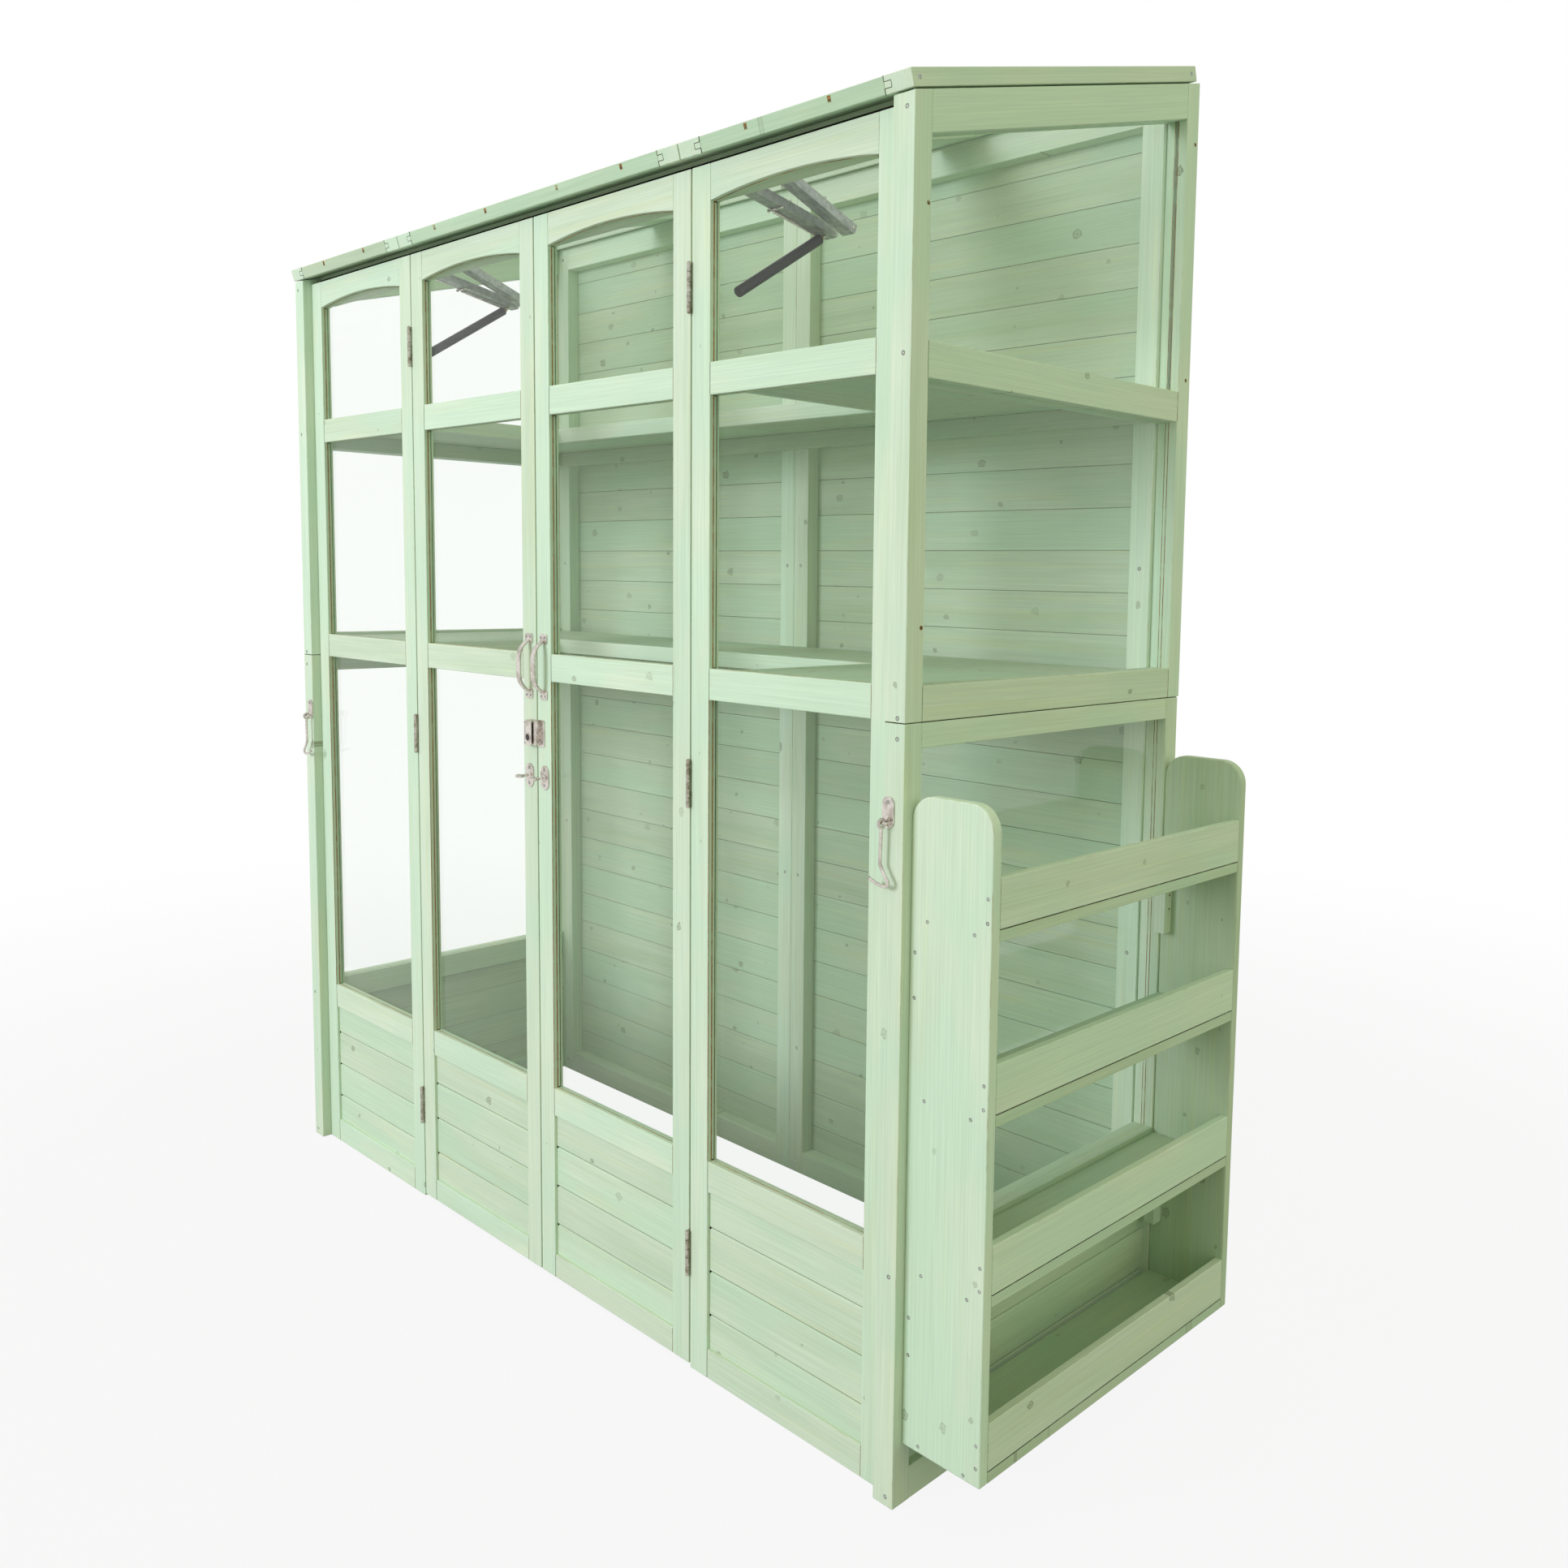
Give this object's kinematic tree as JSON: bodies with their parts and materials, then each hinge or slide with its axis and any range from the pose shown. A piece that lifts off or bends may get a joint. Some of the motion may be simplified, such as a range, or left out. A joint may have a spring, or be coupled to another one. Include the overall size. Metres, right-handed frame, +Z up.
{
  "type": "mini greenhouse",
  "caption": "Lean-to style wooden mini greenhouse with glazed double front doors, opening roof vents, inside shelves and a slatted rack on its right side.",
  "frame": {"origin": "middle of the whole model's box at ground level", "axes": "+Z up, -Y out of the front doors, +X to the right seen from the front"},
  "size_m": [1.853, 0.6578, 1.9993],
  "materials": {
    "stained_wood": "satin",
    "glazing": "gloss",
    "bright_steel": "polished",
    "grey_aluminium": "satin"
  },
  "bodies": {
    "root": {"right_upper_side_frame": "stained_wood", "left_upper_side_frame": "stained_wood", "right_lower_side_frame": "stained_wood", "left_lower_side_frame": "stained_wood", "right_side_boards": "stained_wood", "left_side_boards": "stained_wood", "right_upper_side_pane": "glazing", "left_upper_side_pane": "glazing", "right_lower_side_pane": "glazing", "left_lower_side_pane": "glazing", "left_fixed_leaf_frame": "stained_wood", "right_fixed_leaf_frame": "stained_wood", "left_fixed_leaf_boards": "stained_wood", "right_fixed_leaf_boards": "stained_wood", "left_fixed_leaf_pane": "glazing", "right_fixed_leaf_pane": "glazing", "left_hinge_1": "bright_steel", "left_hinge_2": "bright_steel", "left_hinge_3": "bright_steel", "right_hinge_1": "bright_steel", "right_hinge_2": "bright_steel", "right_hinge_3": "bright_steel", "right_hook_plate": "bright_steel", "left_hook_plate": "bright_steel", "front_top_rail": "stained_wood", "right_back_frame": "stained_wood", "left_back_frame": "stained_wood", "back_boards": "stained_wood", "middle_roof_frame": "stained_wood", "middle_roof_pane": "glazing", "lower_shelf": "stained_wood", "upper_shelf": "stained_wood", "side_unit_near_board": "stained_wood", "side_unit_far_board": "stained_wood", "side_unit_shelf_1": "stained_wood", "side_unit_shelf_2": "stained_wood", "side_unit_shelf_3": "stained_wood", "side_unit_shelf_4": "stained_wood"},
    "left_door": {"left_door_frame": "stained_wood", "left_door_boards": "stained_wood", "left_door_pane": "glazing", "left_handle": "bright_steel", "left_door_eye_plate": "bright_steel", "lock_case": "bright_steel"},
    "right_door": {"right_door_frame": "stained_wood", "right_door_boards": "stained_wood", "right_door_pane": "glazing", "right_handle": "bright_steel", "right_door_eye_plate": "bright_steel", "lock_keeper": "bright_steel"},
    "left_vent": {"left_vent_frame": "stained_wood", "left_vent_pane": "glazing"},
    "right_vent": {"right_vent_frame": "stained_wood", "right_vent_pane": "glazing"},
    "left_vent_arm": {"left_opener_vent_arm": "grey_aluminium"},
    "right_vent_arm": {"right_opener_vent_arm": "grey_aluminium"},
    "left_frame_arm": {"left_opener_frame_arm": "grey_aluminium"},
    "right_frame_arm": {"right_opener_frame_arm": "grey_aluminium"},
    "left_hook": {"left_hook": "bright_steel"},
    "right_hook": {"right_hook": "bright_steel"}
  },
  "joints": [
    {"name": "left_door_hinge", "type": "hinge", "parent": "root", "child": "left_door", "pos_m": [-0.4785, -0.2976, 0.911], "axis": [0, 0, -1], "range_deg": [0, 170]},
    {"name": "right_door_hinge", "type": "hinge", "parent": "root", "child": "right_door", "pos_m": [0.3455, -0.2976, 0.911], "axis": [0, 0, 1], "range_deg": [0, 170]},
    {"name": "left_vent_hinge", "type": "hinge", "parent": "root", "child": "left_vent", "pos_m": [-0.7025, 0.3239, 1.97791], "axis": [-1, 0, 0], "range_deg": [0, 25]},
    {"name": "right_vent_hinge", "type": "hinge", "parent": "root", "child": "right_vent", "pos_m": [0.5695, 0.3239, 1.97791], "axis": [-1, 0, 0], "range_deg": [0, 25]},
    {"name": "left_vent_arm_pivot", "type": "hinge", "parent": "left_vent", "child": "left_vent_arm", "pos_m": [-0.5025, -0.2151, 1.816], "axis": [1, 0, 0], "range_deg": [-1, 3]},
    {"name": "right_vent_arm_pivot", "type": "hinge", "parent": "right_vent", "child": "right_vent_arm", "pos_m": [0.4095, -0.2151, 1.816], "axis": [1, 0, 0], "range_deg": [-1, 3]},
    {"name": "left_frame_arm_pivot", "type": "hinge", "parent": "root", "child": "left_frame_arm", "pos_m": [-0.5425, -0.2321, 1.788], "axis": [1, 0, 0], "range_deg": [-1, 60]},
    {"name": "right_frame_arm_pivot", "type": "hinge", "parent": "root", "child": "right_frame_arm", "pos_m": [0.3695, -0.2321, 1.788], "axis": [1, 0, 0], "range_deg": [-1, 60]},
    {"name": "left_hook_swing", "type": "hinge", "parent": "root", "child": "left_hook", "pos_m": [-0.8985, -0.3221, 0.912], "axis": [-1, 0, 0], "range_deg": [0, 95]},
    {"name": "right_hook_swing", "type": "hinge", "parent": "root", "child": "right_hook", "pos_m": [0.7655, -0.3221, 0.912], "axis": [-1, 0, 0], "range_deg": [0, 95]}
  ],
  "couplings": [
    {"joint": "left_frame_arm_pivot", "follows": "left_vent_hinge", "ratio": 2.3502},
    {"joint": "right_frame_arm_pivot", "follows": "right_vent_hinge", "ratio": 2.3502},
    {"joint": "left_vent_arm_pivot", "follows": "left_vent_hinge", "ratio": 0.0605},
    {"joint": "right_vent_arm_pivot", "follows": "right_vent_hinge", "ratio": 0.0605}
  ]
}
